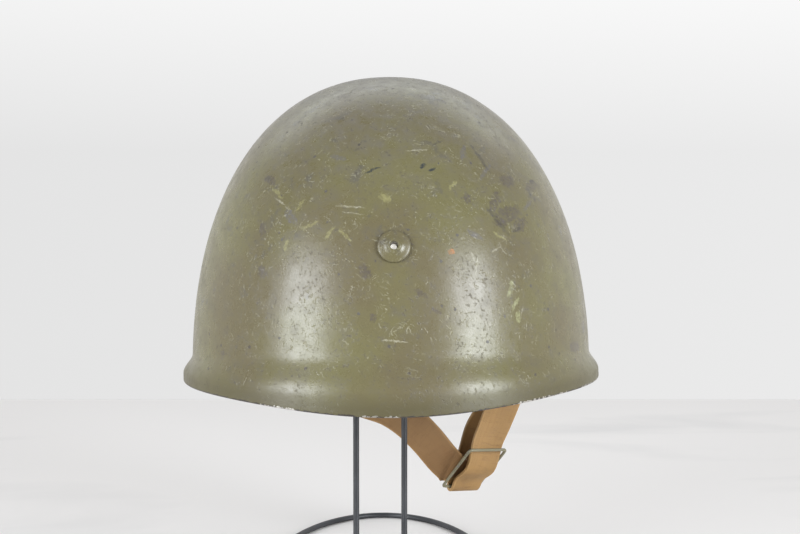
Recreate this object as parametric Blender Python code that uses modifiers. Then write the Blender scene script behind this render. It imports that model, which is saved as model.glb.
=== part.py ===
"""A pressed-steel military helmet with a buckled leather chin strap, on a welded wire display stand.

Metres, +Z up, +Y towards the wearer's face, +X the wearer's right. The origin lies on the floor,
under the middle of the stand's cross bar.
"""

import math

import bmesh
import bpy
from mathutils import Matrix, Vector

GAP = 0.0003  # clearance between neighbouring pieces
WELD_DISTANCE = 0.00001
CORNER_STEPS = 3
WIRE_STEPS = 2  # bevel resolution of the curves: 2 makes a wire of eight sides

FINISHES = {
    "olive_paint": {"color": (0.24, 0.22, 0.11), "roughness": 0.45, "metallic": 0.0},
    "ring_steel": {"color": (0.18, 0.18, 0.16), "roughness": 0.4, "metallic": 1.0},
    "tan_leather": {"color": (0.38, 0.24, 0.10), "roughness": 0.6, "metallic": 0.0},
    "grey_green_paint": {"color": (0.22, 0.23, 0.16), "roughness": 0.45, "metallic": 0.0},
    "black_wire": {"color": (0.03, 0.03, 0.035), "roughness": 0.4, "metallic": 0.0},
}

# Shell: the dome without its flare, about the middle of the rim plane
DOME_HALF_WIDTH = 0.1135
DOME_REAR_LENGTH = 0.1335
DOME_FRONT_LENGTH = 0.1315
DOME_HEIGHT = 0.1732
DOME_POWER_OUT = 2.20
DOME_POWER_UP = 2.29
PLAN_POWER = 2.06
SHELL_WALL = 0.0014
SHELL_COLUMNS = 72
DOME_ROWS = 16
FLARE_ROWS = 7

# Flare of the rim at the ears; the table scales it, and the rise of the edge, for each direction
FLARE_OUT = 0.0050
FLARE_TALL = 0.017
BROW_RISE = 0.010
FLARE = {
    "ear": {"out": 1.0, "tall": 1.0, "edge": 0.33},
    "nape": {"out": 1.25, "tall": 1.76, "edge": -0.25},
    "brow": {"out": 1.4, "tall": 1.6, "edge": 1.0},
}
FLARE_BLEND = 1.8
NAPE_BLEND = 8.0
FLARE_TURN = 0.72  # share of the flare's height in which it turns outwards; below that it is plumb

# Place of the helmet over the stand: it sits a little to the right, leaning and turned
RIM_HEIGHT = 0.112
SHELL_SIDE_SHIFT = 0.0062
SHELL_LEAN = -0.6
SHELL_TURN = 2.0

# Hollow vent rivets: azimuth from +X in degrees, and height as a share of the dome
VENTS = {
    "vent_rivet_rear": {"azimuth": -90.5, "height": 0.46},
    "vent_rivet_front_right": {"azimuth": 42.0, "height": 0.46},
    "vent_rivet_front_left": {"azimuth": 138.0, "height": 0.46},
}
RIVET_HEAD_RADIUS = 0.00825
RIVET_HEAD_HEIGHT = 0.0027
RIVET_EDGE = 0.0004
RIVET_LIP_RADIUS = 0.00285
RIVET_BORE_RADIUS = 0.002
RIVET_BARREL_RADIUS = 0.0034
RIVET_FLANGE_RADIUS = 0.0058
RIVET_FLANGE = 0.0008
RIVET_STEPS = 16
RIVET_HEAD_STEPS = 5

# Strap rings inside the shell, hung by their top wires against the wall
RING_WIDTH = 0.030
RING_TALL = 0.016
RING_WIRE_RADIUS = 0.0013
RING_CORNER = 0.003
RING_HEIGHT = 0.45
RING_FORWARD = 0.030

# Chin strap
STRAP_WIDTH = 0.021
STRAP_THICKNESS = 0.0020
STRAP_FOLD = 0.014
STRAP_ON_BAR = 0.57
STRAP_STEPS = 3
WRAP_STEPS = 6

# The strap's runs, row by row, each with the direction of its width, in plan and above the level.
# Between two bars a row's place is the share of the way from one to the other, along x, y and z.
# Near the buckle it is measured from the lower bar in shares of the buckle's length: across it,
# up it, and behind it.
LEFT_RUN = [
    {"x": 0.035, "y": 0.02, "z": 0.17, "heading": 80, "pitch": 6},
    {"x": 0.135, "y": 0.06, "z": 0.34, "heading": 66, "pitch": 28},
    {"x": 0.33, "y": 0.14, "z": 0.485, "heading": 40, "pitch": 54},
    {"x": 0.594, "y": 0.22, "z": 0.584, "heading": 4, "pitch": 68},
    {"x": 0.68, "y": 0.23, "z": 0.617, "heading": 0, "pitch": 63},
    {"x": 0.772, "y": 0.27, "z": 0.685, "heading": 0, "pitch": 52},
    {"x": 0.842, "y": 0.31, "z": 0.762, "heading": -4, "pitch": 44},
]
INTO_BUCKLE = [
    {"across": -0.614, "up": 0.469, "behind": 0.253, "heading": -8, "pitch": 36},
    {"across": -0.251, "up": 0.235, "behind": 0.128, "heading": 12, "pitch": 20},
]
OUT_OF_BUCKLE = [
    {"across": -0.021, "up": 0.206, "behind": -0.035, "heading": 33, "pitch": -5},
    {"across": 0.018, "up": 0.538, "behind": -0.059, "heading": 31, "pitch": -7},
    {"across": 0.017, "up": 0.784, "behind": 0.040, "heading": 30, "pitch": -8},
    {"across": 0.019, "up": 0.971, "behind": 0.156, "heading": 28, "pitch": -9},
    {"across": 0.073, "up": 1.258, "behind": 0.308, "heading": 24, "pitch": -12},
]
RIGHT_RUN = [
    {"x": 0.435, "y": 0.77, "z": 0.378, "heading": 20, "pitch": -12},
    {"x": 0.66, "y": 0.88, "z": 0.60, "heading": 44, "pitch": -8},
    {"x": 0.88, "y": 0.98, "z": 0.86, "heading": 84, "pitch": -2},
]
RETURN_RUN = [
    {"x": 0.16, "y": 0.05, "z": 0.14, "heading": 84, "pitch": 0},
    {"x": 0.45, "y": 0.45, "z": 0.42, "heading": 50, "pitch": -4},
]
BEHIND_BUCKLE = [
    {"across": 0.194, "up": 1.170, "behind": 0.668, "heading": 26, "pitch": -14},
    {"across": 0.142, "up": 0.888, "behind": 0.567, "heading": 24, "pitch": -16},
    {"across": 0.108, "up": 0.522, "behind": 0.360, "heading": 24, "pitch": -10},
    {"across": 0.086, "up": 0.282, "behind": 0.218, "heading": 24, "pitch": -6},
]

# Buckle: a flat rectangle of wire, placed by its upper inner corner
BUCKLE_LENGTH = 0.0355
BUCKLE_WIDTH = 0.0280
BUCKLE_WIRE_RADIUS = 0.0009
BUCKLE_CORNER = 0.0022
BUCKLE_PLACE = (0.0537, 0.0270, 0.0650)
BUCKLE_ACROSS = (0.815, 0.572, -0.089)
BUCKLE_ALONG = (-0.448, 0.528, -0.721)

# Wire stand
WIRE_RADIUS = 0.00175
ROD_SPACING = 0.028
BASE_HALF_WIDTH = 0.0643
BASE_HALF_LENGTH = 0.135
CROSS_BAR_WIDTH = 0.010
CROSS_BAR_THICKNESS = 0.0035
SEAT_SHARE = 0.38
RING_POINTS = 48
SEAT_POINTS = 32


def clear_scene():
    for obj in list(bpy.data.objects):
        bpy.data.objects.remove(obj, do_unlink=True)


def new_collection(name):
    collection = bpy.data.collections.new(name)
    bpy.context.scene.collection.children.link(collection)
    return collection


def principled(name, finish):
    material = bpy.data.materials.new(name)
    material.use_nodes = True
    shader = material.node_tree.nodes["Principled BSDF"]
    shader.inputs["Base Color"].default_value = (*finish["color"], 1.0)
    shader.inputs["Roughness"].default_value = finish["roughness"]
    shader.inputs["Metallic"].default_value = finish["metallic"]
    return material


def mesh_object(name, bm, collection, material=None, parent=None):
    mesh = bpy.data.meshes.new(name)
    bm.to_mesh(mesh)
    bm.free()
    if material:
        mesh.materials.append(material)
    obj = bpy.data.objects.new(name, mesh)
    obj.parent = parent
    collection.objects.link(obj)
    return obj


def blend(column, direction, back_power=FLARE_BLEND):
    """A flare value for a direction in plan, mixed from the ear, nape and brow rows."""
    front = max(0.0, math.sin(direction)) ** FLARE_BLEND
    back = max(0.0, -math.sin(direction)) ** back_power
    ear = FLARE["ear"][column]
    return ear + (FLARE["brow"][column] - ear) * front + (FLARE["nape"][column] - ear) * back


def flare_limits(direction):
    """Heights of the flare's raw edge and of its top."""
    edge = BROW_RISE * blend("edge", direction, NAPE_BLEND)
    return edge, FLARE_TALL * blend("tall", direction)


def plan_radius(direction):
    """Distance from the middle to the dome's outline at the rim plane."""
    across, along = abs(math.cos(direction)), abs(math.sin(direction))
    length = DOME_FRONT_LENGTH if math.sin(direction) > 0 else DOME_REAR_LENGTH
    total = (across / DOME_HALF_WIDTH) ** PLAN_POWER + (along / length) ** PLAN_POWER
    return total ** (-1 / PLAN_POWER)


def dome_share(height):
    """Radius of the dome at a height, as a share of its radius at the rim plane."""
    rise = max(0.0, height / DOME_HEIGHT) ** DOME_POWER_UP
    return max(0.0, 1 - rise) ** (1 / DOME_POWER_OUT)


def shell_point(direction, height):
    """Outer surface of the shell, in its own frame."""
    edge, flare_top = flare_limits(direction)
    fall = min(1.0, max(0.0, (flare_top - height) / (flare_top - edge) / FLARE_TURN))
    flare = FLARE_OUT * blend("out", direction) * fall * fall * (3 - 2 * fall)
    radius = plan_radius(direction) * dome_share(height) + flare
    return Vector((radius * math.cos(direction), radius * math.sin(direction), height))


def shell_normal(direction, height):
    step = 0.01
    around = shell_point(direction + step, height) - shell_point(direction - step, height)
    up = shell_point(direction, height + step * DOME_HEIGHT)
    up -= shell_point(direction, height - step * DOME_HEIGHT)
    return around.cross(up).normalized()


def row_height(row, direction):
    """Height of a row of the shell's mesh: even steps through the flare, then even angles."""
    edge, flare_top = flare_limits(direction)
    if row <= FLARE_ROWS:
        return edge + (flare_top - edge) * row / FLARE_ROWS
    start = math.asin((flare_top / DOME_HEIGHT) ** (DOME_POWER_UP / 2))
    angle = start + (math.pi / 2 - start) * (row - FLARE_ROWS) / DOME_ROWS
    return DOME_HEIGHT * math.sin(angle) ** (2 / DOME_POWER_UP)


def make_shell(collection, cutters, pose, material):
    rows = FLARE_ROWS + DOME_ROWS
    bm = bmesh.new()
    bmesh.ops.create_uvsphere(bm, u_segments=SHELL_COLUMNS, v_segments=2 * rows, radius=1.0)
    half_row = math.sin(math.pi / rows / 4)
    below = [vert for vert in bm.verts if vert.co.z < -half_row]
    bmesh.ops.delete(bm, geom=below, context="VERTS")
    for vert in bm.verts:
        row = round(math.asin(min(1.0, vert.co.z)) / (math.pi / 2) * rows)
        if row == rows:
            vert.co = (0.0, 0.0, DOME_HEIGHT)
            continue
        direction = math.atan2(vert.co.y, vert.co.x)
        vert.co = shell_point(direction, row_height(row, direction))
    shell = mesh_object("helmet_shell", bm, collection, material, pose)
    wall = shell.modifiers.new("wall", "SOLIDIFY")
    wall.thickness = SHELL_WALL
    wall.offset = -1
    wall.use_even_offset = True
    for name, vent in VENTS.items():
        cutter = vent_cutter(name, vent, cutters, pose)
        cut = shell.modifiers.new(name, "BOOLEAN")
        cut.operation = "DIFFERENCE"
        cut.object = cutter
    shade_round(shell)
    return shell


def shade_round(obj, sharp=35.0):
    obj.data.shade_smooth()
    obj.data.set_sharp_from_angle(angle=math.radians(sharp))


def vent_frame(vent):
    """Matrix that puts a vent's own +Z along the shell's outward normal, from its outer face."""
    direction = math.radians(vent["azimuth"])
    height = vent["height"] * DOME_HEIGHT
    turn = shell_normal(direction, height).to_track_quat("Z", "Y")
    return Matrix.Translation(shell_point(direction, height)) @ turn.to_matrix().to_4x4()


def vent_cutter(name, vent, cutters, pose):
    bm = bmesh.new()
    radius = RIVET_BARREL_RADIUS + GAP
    bmesh.ops.create_cone(bm, cap_ends=True, segments=RIVET_STEPS, radius1=radius, radius2=radius,
                          depth=8 * SHELL_WALL)
    cutter = mesh_object(name + "_hole", bm, cutters, parent=pose)
    cutter.matrix_local = vent_frame(vent)
    cutter.hide_render = True
    cutter.display_type = "WIRE"
    return cutter


def make_rivet(name, vent, collection, pose, material):
    inside = -SHELL_WALL - 2 * GAP
    profile = [(RIVET_BORE_RADIUS, RIVET_HEAD_HEIGHT - RIVET_EDGE)]
    for step in range(RIVET_HEAD_STEPS + 1):
        angle = math.pi / 2 * step / RIVET_HEAD_STEPS
        radius = RIVET_LIP_RADIUS + (RIVET_HEAD_RADIUS - RIVET_LIP_RADIUS) * math.sin(angle)
        rise = GAP + RIVET_EDGE + (RIVET_HEAD_HEIGHT - RIVET_EDGE) * math.cos(angle)
        profile.append((radius, rise))
    profile += [
        (RIVET_HEAD_RADIUS, GAP),
        (RIVET_BARREL_RADIUS, GAP),
        (RIVET_BARREL_RADIUS, inside),
        (RIVET_FLANGE_RADIUS, inside),
        (RIVET_FLANGE_RADIUS, inside - RIVET_FLANGE),
        (RIVET_BORE_RADIUS, inside - RIVET_FLANGE),
    ]
    bm = bmesh.new()
    verts = [bm.verts.new((radius, 0.0, rise)) for radius, rise in profile]
    for one, other in zip(verts, verts[1:] + verts[:1]):
        bm.edges.new((one, other))
    rivet = mesh_object(name, bm, collection, material, pose)
    rivet.matrix_local = vent_frame(vent)
    turn = rivet.modifiers.new("turn", "SCREW")
    turn.steps = turn.render_steps = RIVET_STEPS
    turn.use_merge_vertices = True
    turn.merge_threshold = WELD_DISTANCE
    turn.use_smooth_shade = False
    return rivet


def rounded_corners(corners, radius):
    """Points of a closed outline with its corners rounded."""
    points = []
    for index, corner in enumerate(corners):
        before = (corners[index - 1] - corner).normalized()
        after = (corners[(index + 1) % len(corners)] - corner).normalized()
        start, end = corner + before * radius, corner + after * radius
        for step in range(CORNER_STEPS + 1):
            share = step / CORNER_STEPS
            points.append((1 - share) ** 2 * start + 2 * share * (1 - share) * corner + share ** 2 * end)
    return points


def wire(name, points, radius, collection, material=None, closed=False, parent=None):
    """A round wire through the points, as a curve with a bevel."""
    curve = bpy.data.curves.new(name, "CURVE")
    curve.dimensions = "3D"
    curve.bevel_depth = radius
    curve.bevel_resolution = WIRE_STEPS
    curve.use_fill_caps = not closed
    spline = curve.splines.new("POLY")
    spline.points.add(len(points) - 1)
    for point, place in zip(spline.points, points):
        point.co = (*place, 1.0)
    spline.use_cyclic_u = closed
    if material:
        curve.materials.append(material)
    obj = bpy.data.objects.new(name, curve)
    obj.parent = parent
    collection.objects.link(obj)
    return obj


def wall_point(forward, height, side, depth):
    """A point a depth inside the shell's outer face, at a distance forward of its middle."""
    direction = math.asin(min(1.0, forward / DOME_HALF_WIDTH))
    for _ in range(20):
        here = shell_point(direction, height)
        direction += (forward - here.y) / DOME_HALF_WIDTH
    place = here - shell_normal(direction, height) * depth
    return Vector((side * place.x, place.y, place.z))


def strap_ring_corners(side):
    """Corners of a strap ring in the shell's frame: the top wire along the wall, hanging plumb."""
    depth = SHELL_WALL + GAP + RING_WIRE_RADIUS
    height = RING_HEIGHT * DOME_HEIGHT
    rear = wall_point(RING_FORWARD - RING_WIDTH / 2, height, side, depth)
    front = wall_point(RING_FORWARD + RING_WIDTH / 2, height, side, depth)
    drop = Vector((0.0, 0.0, -RING_TALL))
    return [rear, front, front + drop, rear + drop]


def make_strap_ring(name, side, collection, pose, material):
    points = rounded_corners(strap_ring_corners(side), RING_CORNER)
    return wire(name, points, RING_WIRE_RADIUS, collection, material, closed=True, parent=pose)


def buckle_corners():
    first = Vector(BUCKLE_PLACE)
    across = Vector(BUCKLE_ACROSS).normalized() * BUCKLE_WIDTH
    along = Vector(BUCKLE_ALONG)
    along = (along - along.project(across)).normalized() * BUCKLE_LENGTH
    return [first, first + across, first + across + along, first + along]


def smooth_curve(rows, steps):
    """Smooth curve through rows of numbers, whose first three are a place; steps pieces a span."""
    spans = [max(1e-9, math.dist(a[:3], b[:3])) for a, b in zip(rows, rows[1:])]
    slopes = [[(y - x) / span for x, y in zip(a, b)] for a, b, span in zip(rows, rows[1:], spans)]
    tangents = [slopes[0]]
    for one, other, first, second in zip(slopes, slopes[1:], spans, spans[1:]):
        tangents.append([(x * second + y * first) / (first + second) for x, y in zip(one, other)])
    tangents.append(slopes[-1])
    curve = []
    for index, span in enumerate(spans):
        for step in range(steps):
            t = step / steps
            weights = (2 * t ** 3 - 3 * t ** 2 + 1, (t ** 3 - 2 * t ** 2 + t) * span,
                       3 * t ** 2 - 2 * t ** 3, (t ** 3 - t ** 2) * span)
            ends = (rows[index], tangents[index], rows[index + 1], tangents[index + 1])
            curve.append([sum(w * v for w, v in zip(weights, values)) for values in zip(*ends)])
    curve.append(list(rows[-1]))
    return curve


def ring_bar(side, place):
    """Middle and forward direction of a strap ring's lower wire, in the world."""
    corners = [place @ corner for corner in strap_ring_corners(side)]
    return (corners[2] + corners[3]) / 2, (corners[2] - corners[3]).normalized()


def section(middle, row):
    """A section of the strap: its middle and the direction of its width."""
    heading, pitch = math.radians(row["heading"]), math.radians(row["pitch"])
    flat = math.cos(pitch)
    return (*middle, flat * math.cos(heading), flat * math.sin(heading), math.sin(pitch))


def span_sections(table, start, end):
    """Sections between two places."""
    rows = []
    for row in table:
        middle = [a + (b - a) * row[axis] for a, b, axis in zip(start, end, "xyz")]
        rows.append(section(middle, row))
    return rows


def buckle_sections(table, low_bar, across, along, behind):
    """Sections near the buckle, in its own frame."""
    rows = []
    for row in table:
        offset = row["across"] * across - row["up"] * along + row["behind"] * behind
        rows.append(section(low_bar + BUCKLE_LENGTH * offset, row))
    return rows


def turn_round(middle, axis, start, end, radius):
    """Sections of a strap that bends half way round a bar, past the end direction."""
    rows = []
    for step in range(WRAP_STEPS + 1):
        angle = math.pi * step / WRAP_STEPS
        rows.append((*(middle + radius * (math.cos(angle) * start + math.sin(angle) * end)), *axis))
    return rows


def strap_sections(place):
    left, left_axis = ring_bar(-1, place)
    right, right_axis = ring_bar(1, place)
    corners = buckle_corners()
    across = (corners[1] - corners[0]).normalized()
    along = (corners[3] - corners[0]).normalized()
    behind = across.cross(along)
    low_bar = corners[3].lerp(corners[2], STRAP_ON_BAR)
    frame = (low_bar, across, along, behind)
    up = Vector((0.0, 0.0, 1.0))
    ring_bend = RING_WIRE_RADIUS + GAP + STRAP_THICKNESS / 2
    buckle_bend = BUCKLE_WIRE_RADIUS + GAP + STRAP_THICKNESS / 2
    left_wall, right_wall = up.cross(left_axis).normalized(), right_axis.cross(up).normalized()
    fold_end = left - up * STRAP_FOLD - left_wall * (ring_bend - STRAP_THICKNESS - 2 * GAP)
    sections = [(*fold_end, *left_axis)]
    sections += turn_round(left, left_axis, left_wall, up, ring_bend)
    sections += span_sections(LEFT_RUN, left, low_bar)
    sections += buckle_sections(INTO_BUCKLE, *frame)
    sections += turn_round(low_bar, across, behind, along, buckle_bend)
    sections += buckle_sections(OUT_OF_BUCKLE, *frame)
    sections += span_sections(RIGHT_RUN, low_bar, right)
    sections += turn_round(right, right_axis, right_wall, up, ring_bend)
    sections += span_sections(RETURN_RUN, right, low_bar)
    sections += buckle_sections(BEHIND_BUCKLE, *frame)
    return smooth_curve(sections, STRAP_STEPS)


def make_strap(place, collection, material):
    """A ribbon through its sections, of one true width, given its thickness by Solidify."""
    sections = strap_sections(place)
    bm = bmesh.new()
    last = None
    for index, values in enumerate(sections):
        before, after = sections[max(0, index - 1)], sections[min(len(sections) - 1, index + 1)]
        travel = (Vector(after[:3]) - Vector(before[:3])).normalized()
        width = Vector(values[3:]).normalized()
        half = width * STRAP_WIDTH / 2 / width.cross(travel).length
        middle = Vector(values[:3])
        row = [bm.verts.new(middle + half * share) for share in (-1.0, 0.0, 1.0)]
        if last:
            for one in range(2):
                bm.faces.new((last[one], last[one + 1], row[one + 1], row[one]))
        last = row
    strap = mesh_object("chin_strap", bm, collection, material)
    body = strap.modifiers.new("thickness", "SOLIDIFY")
    body.thickness = STRAP_THICKNESS
    body.offset = 0
    strap.data.shade_smooth()
    return strap


def as_mesh(obj, collection):
    """The curve as a mesh with its caps welded; the curve is removed."""
    bpy.context.view_layer.update()
    graph = bpy.context.evaluated_depsgraph_get()
    mesh = bpy.data.meshes.new_from_object(obj.evaluated_get(graph))
    bm = bmesh.new()
    bm.from_mesh(mesh)
    bmesh.ops.remove_doubles(bm, verts=bm.verts, dist=WELD_DISTANCE)
    bmesh.ops.recalc_face_normals(bm, faces=bm.faces)
    bm.to_mesh(mesh)
    bm.free()
    name = obj.name
    matrix = obj.matrix_world.copy()
    bpy.data.objects.remove(obj, do_unlink=True)
    made = bpy.data.objects.new(name, mesh)
    made.matrix_world = matrix
    collection.objects.link(made)
    return made


def seat_ring_points(place):
    """The stand's top ring, which lies against the inside of the crown."""
    height = DOME_HEIGHT * (1 - SEAT_SHARE ** DOME_POWER_OUT) ** (1 / DOME_POWER_UP)
    depth = SHELL_WALL + GAP + WIRE_RADIUS
    points = []
    for step in range(SEAT_POINTS):
        direction = 2 * math.pi * step / SEAT_POINTS
        points.append(place @ (shell_point(direction, height) - shell_normal(direction, height) * depth))
    return points


def make_stand(place, collection, cutters, material):
    base = []
    for step in range(RING_POINTS):
        angle = 2 * math.pi * step / RING_POINTS
        base.append((BASE_HALF_WIDTH * math.cos(angle), BASE_HALF_LENGTH * math.sin(angle), WIRE_RADIUS))
    seat = seat_ring_points(place)
    seat_right, seat_left = seat[0], seat[SEAT_POINTS // 2]
    pieces = [wire("seat_ring", seat, WIRE_RADIUS, cutters, closed=True)]
    pieces.append(wire("seat_bar", [seat_left, seat_right], WIRE_RADIUS, cutters))
    for name, side in (("rod_left", -1), ("rod_right", 1)):
        across = side * ROD_SPACING / 2
        share = (across - seat_left.x) / (seat_right.x - seat_left.x)
        top = seat_left.lerp(seat_right, share)
        pieces.append(wire(name, [(across, top.y, CROSS_BAR_THICKNESS / 2), top], WIRE_RADIUS, cutters))
    stand = as_mesh(wire("wire_stand", base, WIRE_RADIUS, cutters, closed=True), collection)
    stand.data.materials.append(material)
    tools = [as_mesh(piece, cutters) for piece in pieces]
    bm = bmesh.new()
    bmesh.ops.create_cube(bm, size=1.0)
    bmesh.ops.scale(bm, vec=(2 * BASE_HALF_WIDTH, CROSS_BAR_WIDTH, CROSS_BAR_THICKNESS), verts=bm.verts)
    bmesh.ops.translate(bm, vec=(0.0, 0.0, CROSS_BAR_THICKNESS / 2), verts=bm.verts)
    tools.insert(0, mesh_object("cross_bar", bm, cutters))
    for tool in tools:
        tool.hide_render = True
        tool.display_type = "WIRE"
        weld = stand.modifiers.new(tool.name, "BOOLEAN")
        weld.operation = "UNION"
        weld.object = tool
    shade_round(stand)
    return stand


def make_all():
    clear_scene()
    parts = new_collection("military_helmet")
    cutters = new_collection("cutters")
    pose = bpy.data.objects.new("helmet_pose", None)
    parts.objects.link(pose)
    pose.location = (SHELL_SIDE_SHIFT, 0.0, RIM_HEIGHT)
    pose.rotation_euler = (0.0, math.radians(SHELL_LEAN), math.radians(SHELL_TURN))
    bpy.context.view_layer.update()
    place = pose.matrix_world.copy()
    materials = {name: principled(name, finish) for name, finish in FINISHES.items()}
    make_shell(parts, cutters, pose, materials["olive_paint"])
    for name, vent in VENTS.items():
        make_rivet(name, vent, parts, pose, materials["olive_paint"])
    for name, side in (("strap_ring_left", -1), ("strap_ring_right", 1)):
        make_strap_ring(name, side, parts, pose, materials["ring_steel"])
    make_strap(place, parts, materials["tan_leather"])
    outline = rounded_corners(buckle_corners(), BUCKLE_CORNER)
    wire("strap_buckle", outline, BUCKLE_WIRE_RADIUS, parts, materials["grey_green_paint"], closed=True)
    make_stand(place, parts, cutters, materials["black_wire"])


make_all()
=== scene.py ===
import math
from functools import partial

import bmesh
import bpy
from mathutils import Euler, Matrix, Vector, noise


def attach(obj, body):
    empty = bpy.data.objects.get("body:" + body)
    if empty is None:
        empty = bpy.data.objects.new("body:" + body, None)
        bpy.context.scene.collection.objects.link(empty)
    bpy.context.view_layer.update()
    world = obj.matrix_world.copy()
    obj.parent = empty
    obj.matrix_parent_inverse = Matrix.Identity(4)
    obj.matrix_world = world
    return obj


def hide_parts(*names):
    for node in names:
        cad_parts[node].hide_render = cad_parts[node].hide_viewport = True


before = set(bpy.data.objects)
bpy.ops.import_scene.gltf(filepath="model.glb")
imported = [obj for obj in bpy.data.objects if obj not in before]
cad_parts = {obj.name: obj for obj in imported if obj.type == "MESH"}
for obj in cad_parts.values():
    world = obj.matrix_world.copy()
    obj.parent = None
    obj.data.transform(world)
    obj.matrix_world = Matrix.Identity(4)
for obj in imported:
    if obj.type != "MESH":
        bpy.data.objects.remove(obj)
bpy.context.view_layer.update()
print("frame loaded")

# viewpoint: level with the helmet, from behind it
viewpoint = {"place": (0.0115, -0.810, 0.2104), "tiltDown": 2.4, "lens": 63.0, "sensorWidth": 36.0}

cameraData = bpy.data.cameras.new("photoCamera")
cameraData.lens = viewpoint["lens"]
cameraData.sensor_width = viewpoint["sensorWidth"]
camera = bpy.data.objects.new("photoCamera", cameraData)
camera.location = viewpoint["place"]
camera.rotation_euler = (math.radians(90 - viewpoint["tiltDown"]), 0.0, 0.0)
bpy.context.scene.collection.objects.link(camera)
bpy.context.scene.camera = camera

perMetre = 1000  # mm in a metre
gap = 0.0003  # between neighbouring pieces
weldDistance = 0.00001  # nearer points are one


def hexColour(code):
    # sRGB hex to linear
    parts = [int(code[i:i + 2], 16) / 255 for i in (1, 3, 5)]
    linear = [part / 12.92 if part <= 0.04045 else ((part + 0.055) / 1.055) ** 2.4 for part in parts]
    return (*linear, 1.0)


def setInputs(node, inputs):
    # an input is a value, a socket or another node
    for name, value in inputs.items():
        if isinstance(value, bpy.types.Node):
            value = next(socket for socket in value.outputs if socket.enabled)
        if isinstance(value, bpy.types.NodeSocket):
            node.id_data.links.new(value, node.inputs[name])
        else:
            node.inputs[name].default_value = value


def addNode(tree, kind, inputs=None, **settings):
    # a node with its settings and links
    node = tree.nodes.new("ShaderNode" + kind)
    for name, value in settings.items():
        setattr(node, name, value)
    setInputs(node, inputs or {})
    return node


def newMaterial(name, **values):
    # a material, addNode for its tree, and its shader; constants go straight on the shader
    material = bpy.data.materials.new(name)
    material.use_nodes = True
    shader = material.node_tree.nodes["Principled BSDF"]
    setInputs(shader, values)
    return material, partial(addNode, material.node_tree), shader


def meshObject(name, bm, material=None):
    mesh = bpy.data.meshes.new(name)
    bm.to_mesh(mesh)
    bm.free()
    if material:
        mesh.materials.append(material)
    obj = bpy.data.objects.new(name, mesh)
    bpy.context.scene.collection.objects.link(obj)
    return obj


def applyModifiers(obj):
    bpy.context.view_layer.update()
    graph = bpy.context.evaluated_depsgraph_get()
    mesh = bpy.data.meshes.new_from_object(obj.evaluated_get(graph))
    obj.modifiers.clear()
    obj.data = mesh


def roundShade(obj, sharpAngle=38.0):
    obj.data.shade_smooth()
    obj.data.set_sharp_from_angle(angle=math.radians(sharpAngle))


def finishPiece(obj, material, slot, *nodes):
    obj.data.materials.clear()
    obj.data.materials.append(material)
    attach(obj, "root")
    if nodes:
        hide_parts(*nodes)


def turnProfile(name, profile, steps):
    # a closed outline of (radius, height) turned round the z axis
    bm = bmesh.new()
    verts = [bm.verts.new((radius, 0.0, height)) for radius, height in profile]
    edges = [bm.edges.new(pair) for pair in zip(verts, verts[1:] + verts[:1])]
    bmesh.ops.spin(bm, geom=verts + edges, cent=(0, 0, 0), axis=(0, 0, 1), angle=2 * math.pi,
                   steps=steps, use_merge=True)
    bmesh.ops.remove_doubles(bm, verts=bm.verts, dist=weldDistance)
    bmesh.ops.recalc_face_normals(bm, faces=bm.faces)
    return meshObject(name, bm)


def wirePiece(name, points, radius, closed=False, roundness=5):
    # a round wire through the points, as a welded mesh
    curve = bpy.data.curves.new(name, "CURVE")
    curve.dimensions = "3D"
    curve.bevel_depth = radius
    curve.bevel_resolution = roundness
    curve.use_fill_caps = not closed
    spline = curve.splines.new("POLY")
    spline.points.add(len(points) - 1)
    for point, place in zip(spline.points, points):
        point.co = (*place, 1.0)
    spline.use_cyclic_u = closed
    holder = bpy.data.objects.new(name + "Curve", curve)
    bpy.context.scene.collection.objects.link(holder)
    bpy.context.view_layer.update()
    graph = bpy.context.evaluated_depsgraph_get()
    mesh = bpy.data.meshes.new_from_object(holder.evaluated_get(graph))
    bpy.data.objects.remove(holder, do_unlink=True)
    bm = bmesh.new()
    bm.from_mesh(mesh)
    bmesh.ops.remove_doubles(bm, verts=bm.verts, dist=weldDistance)
    bmesh.ops.recalc_face_normals(bm, faces=bm.faces)
    return meshObject(name, bm)


def roundedCorners(corners, radius, steps):
    # a closed line whose corners are short curves
    points = []
    for index, corner in enumerate(corners):
        before = (corners[index - 1] - corner).normalized()
        after = (corners[(index + 1) % len(corners)] - corner).normalized()
        start, end = corner + before * radius, corner + after * radius
        for step in range(steps + 1):
            share = step / steps
            points.append((1 - share) ** 2 * start + 2 * share * (1 - share) * corner + share ** 2 * end)
    return points


# helmet shell
helmet = {
    "halfWidth": 0.1135, "rearLength": 0.1335, "frontLength": 0.1315, "height": 0.1732,
    "powerOut": 2.20, "powerUp": 2.29, "planPower": 2.06, "wall": 0.0014,
    "flareOut": 0.0050, "flareTall": 0.017, "browRise": 0.010, "flareTurn": 0.72,
    "flareBlend": 1.8, "napeBlend": 8.0,
    "rimHeight": 0.112, "sideShift": 0.0062, "lean": -0.6, "turn": 2.0,
    "columns": 216, "domeRows": 50, "flareRows": 18,
    "dentDepth": 0.00035, "dentSize": 0.040, "dentFrom": 0.05, "calmCrown": 0.02, "calmRows": 2,
    "edgeRound": 0.0004, "edgeSteps": 3, "sharpEdge": 60,
}
flareTable = {
    "ear": {"out": 1.0, "tall": 1.0, "edge": 0.33},
    "nape": {"out": 1.25, "tall": 1.76, "edge": -0.25},
    "brow": {"out": 1.4, "tall": 1.6, "edge": 1.0},
}
helmetPlace = Matrix.Translation((helmet["sideShift"], 0.0, helmet["rimHeight"])) @ Euler(
    (0.0, math.radians(helmet["lean"]), math.radians(helmet["turn"]))).to_matrix().to_4x4()


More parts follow.
